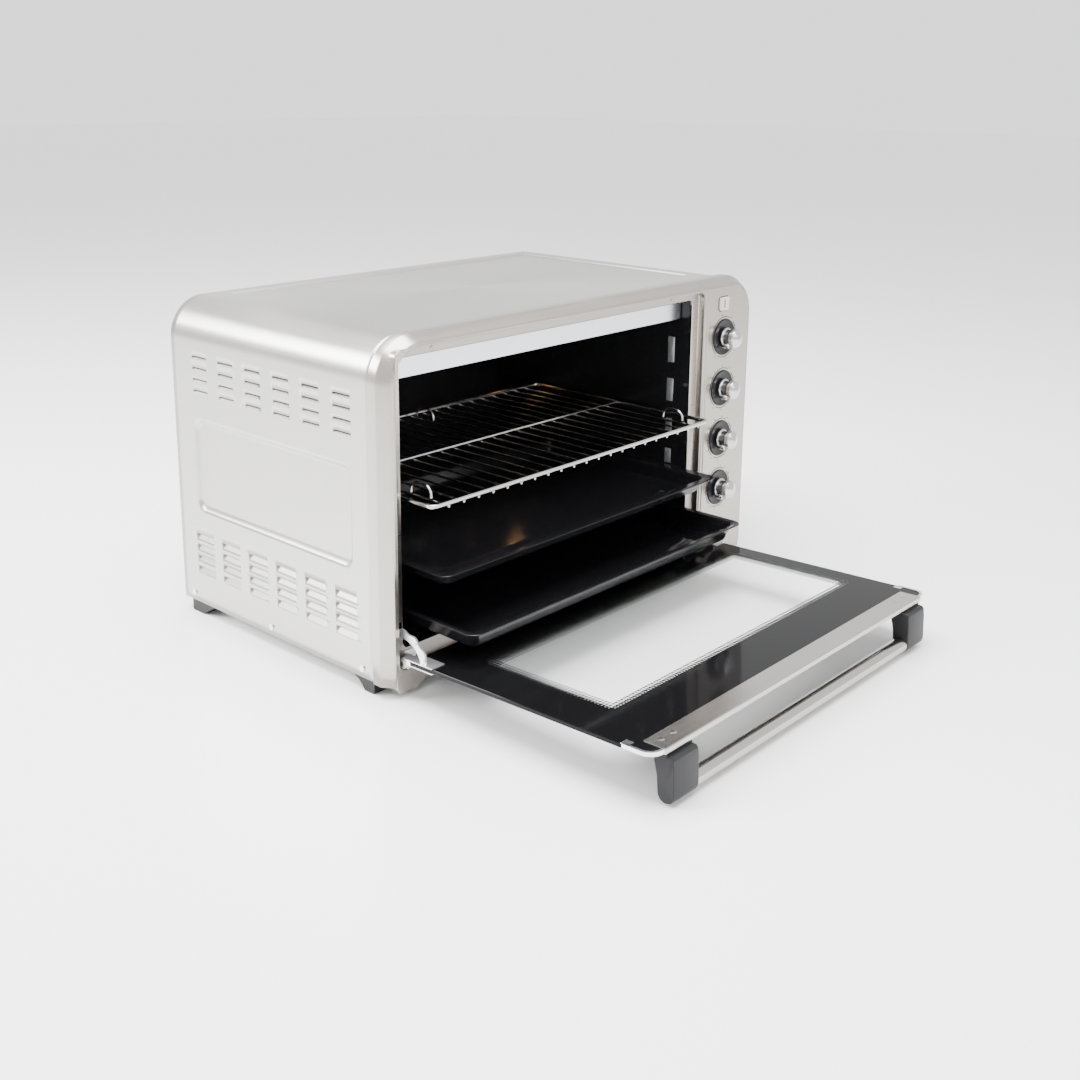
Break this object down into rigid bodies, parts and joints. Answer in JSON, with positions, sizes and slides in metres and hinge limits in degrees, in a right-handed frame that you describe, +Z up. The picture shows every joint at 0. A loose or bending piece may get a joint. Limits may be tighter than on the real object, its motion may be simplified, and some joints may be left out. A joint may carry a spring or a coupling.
{
  "type": "toaster oven",
  "caption": "Countertop toaster oven with a drop-down glass door, wire rack, baking tray, drip tray and a column of control knobs.",
  "frame": {"origin": "centre of the whole object's box at the level the feet stand on, with the door open", "axes": "+Z up, -Y towards the user, +X to the right seen from the front"},
  "size_m": [0.64, 0.7176, 0.378],
  "materials": {
    "brushed_casing": "fine brushed, satin",
    "brushed_fascia": "fine brushed, satin",
    "galvanised_steel": "matt zinc coat",
    "black_enamel_liner": "gloss enamel",
    "black_enamel_tray": "gloss enamel",
    "bright_reflector": "bright satin",
    "chromed_wire": "polished",
    "heater_sheath": "oxidised matt",
    "white_ceramic": "matt",
    "clear_glass": "clear",
    "amber_lens": "gloss",
    "charcoal_plastic": "fine grain",
    "black_rubber": "matt",
    "dark_bezel": "satin",
    "knob_chrome": "turned, polished",
    "switch_housing": "moulded",
    "steel_spindle": "turned",
    "door_glass": "clear with a black printed border",
    "brushed_trim": "fine brushed",
    "bright_screw": "plated",
    "zinc_steel": "zinc plated"
  },
  "bodies": {
    "oven": {"base_panel": "galvanised_steel", "case_screws": "bright_screw", "casing_wrap": "brushed_casing", "cavity_liner": "black_enamel_liner", "ceiling_reflector": "bright_reflector", "cord_gland": "charcoal_plastic", "door_bumpers": "black_rubber", "foot_front_left": "charcoal_plastic", "foot_front_right": "charcoal_plastic", "foot_rear_left": "charcoal_plastic", "foot_rear_right": "charcoal_plastic", "front_fascia": "brushed_fascia", "function_switch_bezel": "dark_bezel", "function_switch_body": "switch_housing", "hinge_bracket_left": "zinc_steel", "hinge_bracket_right": "zinc_steel", "hinge_pin_left": "steel_spindle", "hinge_pin_right": "steel_spindle", "lamp_bulb": "clear_glass", "lamp_cover": "clear_glass", "lamp_holder": "white_ceramic", "lower_heating_insulators": "white_ceramic", "lower_heating_rods": "heater_sheath", "lower_thermostat_bezel": "dark_bezel", "lower_thermostat_body": "switch_housing", "mouth_screws": "bright_screw", "pilot_lamp": "amber_lens", "rear_panel": "galvanised_steel", "rear_spacers": "charcoal_plastic", "shelf_rails_left": "black_enamel_liner", "shelf_rails_right": "black_enamel_liner", "timer_bezel": "dark_bezel", "timer_body": "switch_housing", "upper_heating_insulators": "white_ceramic", "upper_heating_rods": "heater_sheath", "upper_thermostat_bezel": "dark_bezel", "upper_thermostat_body": "switch_housing"},
    "door": {"door_corner_clip_left": "bright_screw", "door_corner_clip_right": "bright_screw", "door_glass": "door_glass", "door_hinge_channel_left": "zinc_steel", "door_hinge_channel_right": "zinc_steel", "door_stay_left": "zinc_steel", "door_stay_right": "zinc_steel", "door_trim": "brushed_trim", "handle_bar": "brushed_trim", "handle_bracket_left": "charcoal_plastic", "handle_bracket_right": "charcoal_plastic", "handle_screws": "bright_screw"},
    "rack": {"wire_rack": "chromed_wire"},
    "baking_tray": {"baking_tray": "black_enamel_tray"},
    "drip_tray": {"drip_tray": "black_enamel_tray"},
    "upper_thermostat_dial": {"upper_thermostat_spindle": "steel_spindle", "upper_thermostat_knob": "knob_chrome"},
    "function_switch_dial": {"function_switch_spindle": "steel_spindle", "function_switch_knob": "knob_chrome"},
    "lower_thermostat_dial": {"lower_thermostat_spindle": "steel_spindle", "lower_thermostat_knob": "knob_chrome"},
    "timer_dial": {"timer_spindle": "steel_spindle", "timer_knob": "knob_chrome"}
  },
  "joints": [
    {"name": "door_hinge", "type": "hinge", "parent": "oven", "child": "door", "pos_m": [-0.048, -0.0262, 0.0385], "axis": [1, 0, 0], "range_deg": [-88, 0]},
    {"name": "rack_slide", "type": "slide", "parent": "oven", "child": "rack", "axis": [0, 1, 0], "range_m": [0, 0.061]},
    {"name": "baking_tray_slide", "type": "slide", "parent": "oven", "child": "baking_tray", "axis": [0, 1, 0], "range_m": [0, 0.081]},
    {"name": "drip_tray_slide", "type": "slide", "parent": "oven", "child": "drip_tray", "axis": [0, 1, 0], "range_m": [0, 0.126]},
    {"name": "upper_thermostat_turn", "type": "hinge", "parent": "oven", "child": "upper_thermostat_dial", "pos_m": [0.254, -0.0262, 0.302], "axis": [0, 1, 0], "range_deg": [0, 300]},
    {"name": "function_switch_turn", "type": "hinge", "parent": "oven", "child": "function_switch_dial", "pos_m": [0.254, -0.0262, 0.235], "axis": [0, 1, 0], "range_deg": [0, 270]},
    {"name": "lower_thermostat_turn", "type": "hinge", "parent": "oven", "child": "lower_thermostat_dial", "pos_m": [0.254, -0.0262, 0.168], "axis": [0, 1, 0], "range_deg": [0, 300]},
    {"name": "timer_turn", "type": "hinge", "parent": "oven", "child": "timer_dial", "pos_m": [0.254, -0.0262, 0.101], "axis": [0, 1, 0], "range_deg": [0, 330]}
  ],
  "couplings": [
    {"joint": "rack_slide", "follows": "door_hinge", "m_per_rad": -0.039065},
    {"joint": "baking_tray_slide", "follows": "door_hinge", "m_per_rad": -0.052087},
    {"joint": "drip_tray_slide", "follows": "door_hinge", "m_per_rad": -0.081386}
  ]
}
